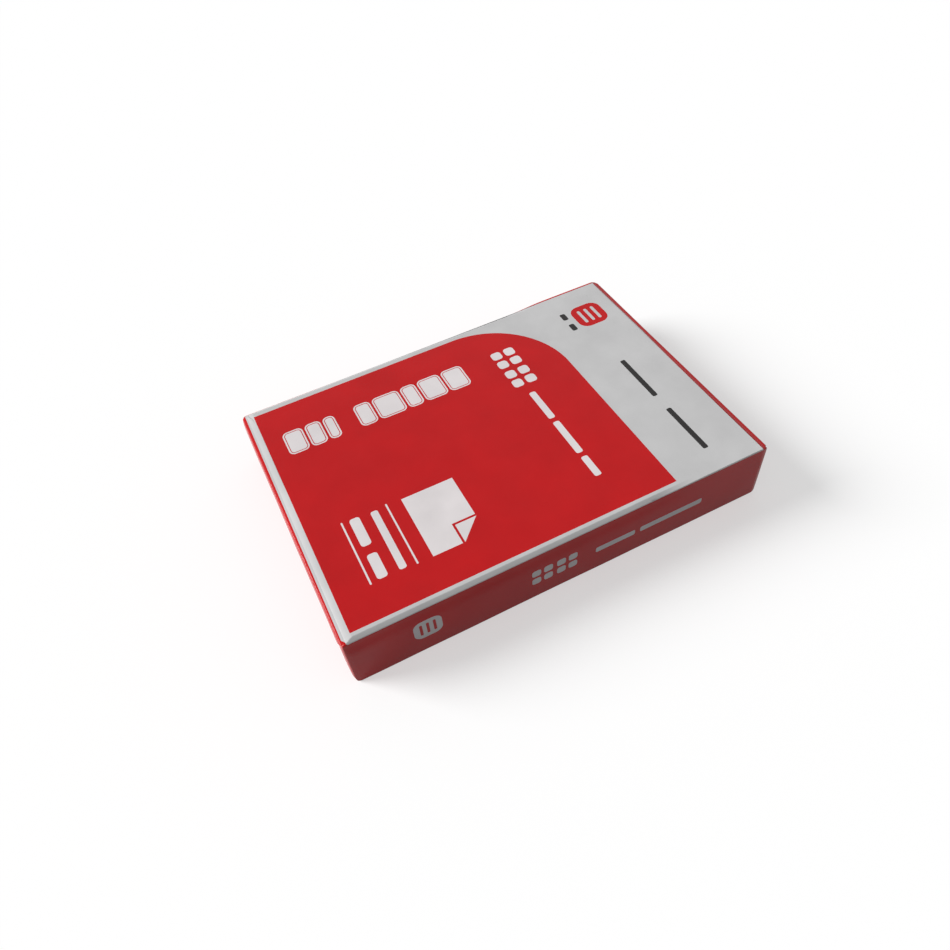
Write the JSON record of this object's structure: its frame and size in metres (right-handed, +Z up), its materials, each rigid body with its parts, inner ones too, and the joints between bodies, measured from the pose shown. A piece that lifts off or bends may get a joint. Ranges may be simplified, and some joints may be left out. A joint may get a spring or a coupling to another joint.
{
  "type": "ream of paper",
  "caption": "Sealed ream of A4 copy paper in a glossy red and white printed wrapper with crisp long folds and envelope-folded, slightly bulging ends.",
  "frame": {"origin": "middle of the underside that the ream lies on", "axes": "+X along the sheets' length towards the end with the white panel, +Y across the sheets' width, +Z up out of the printed top face"},
  "size_m": [0.3068, 0.2134, 0.0475],
  "materials": {
    "wrapper": "glossy coated paper, printed red with a white border and a white panel"
  },
  "bodies": {
    "root": {"wrapped_ream": "wrapper"}
  },
  "joints": []
}
